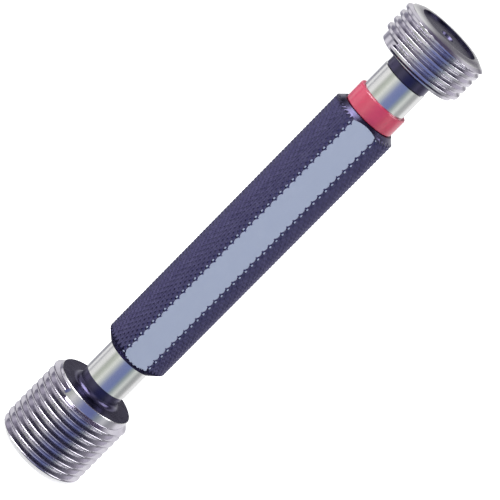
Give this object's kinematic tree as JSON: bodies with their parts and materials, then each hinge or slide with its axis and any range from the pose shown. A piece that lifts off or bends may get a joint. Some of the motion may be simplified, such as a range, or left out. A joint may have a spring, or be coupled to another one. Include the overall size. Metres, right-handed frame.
{
  "type": "thread plug gauge",
  "caption": "Double-ended thread plug gauge: long GO and short NO-GO threaded heads on ground shanks in a knurled handle, with a red marker ring.",
  "frame": {"origin": "middle of the front face of the GO end, on which the gauge stands", "axes": "+Z along the axis of the gauge from the GO end to the NO-GO end; the milled flats of the handle face +Y and -Y"},
  "size_m": [0.021, 0.021, 0.1253],
  "materials": {
    "gauge_steel": "hardened and ground, bright, with black oxide left on the necks and inner faces",
    "handle_steel": "blue-black oxide over diamond knurling, smooth milled flats",
    "ring_plastic": "glossy red"
  },
  "bodies": {
    "root": {"go_member": "gauge_steel", "nogo_member": "gauge_steel", "handle": "handle_steel", "nogo_ring": "ring_plastic"}
  },
  "joints": []
}
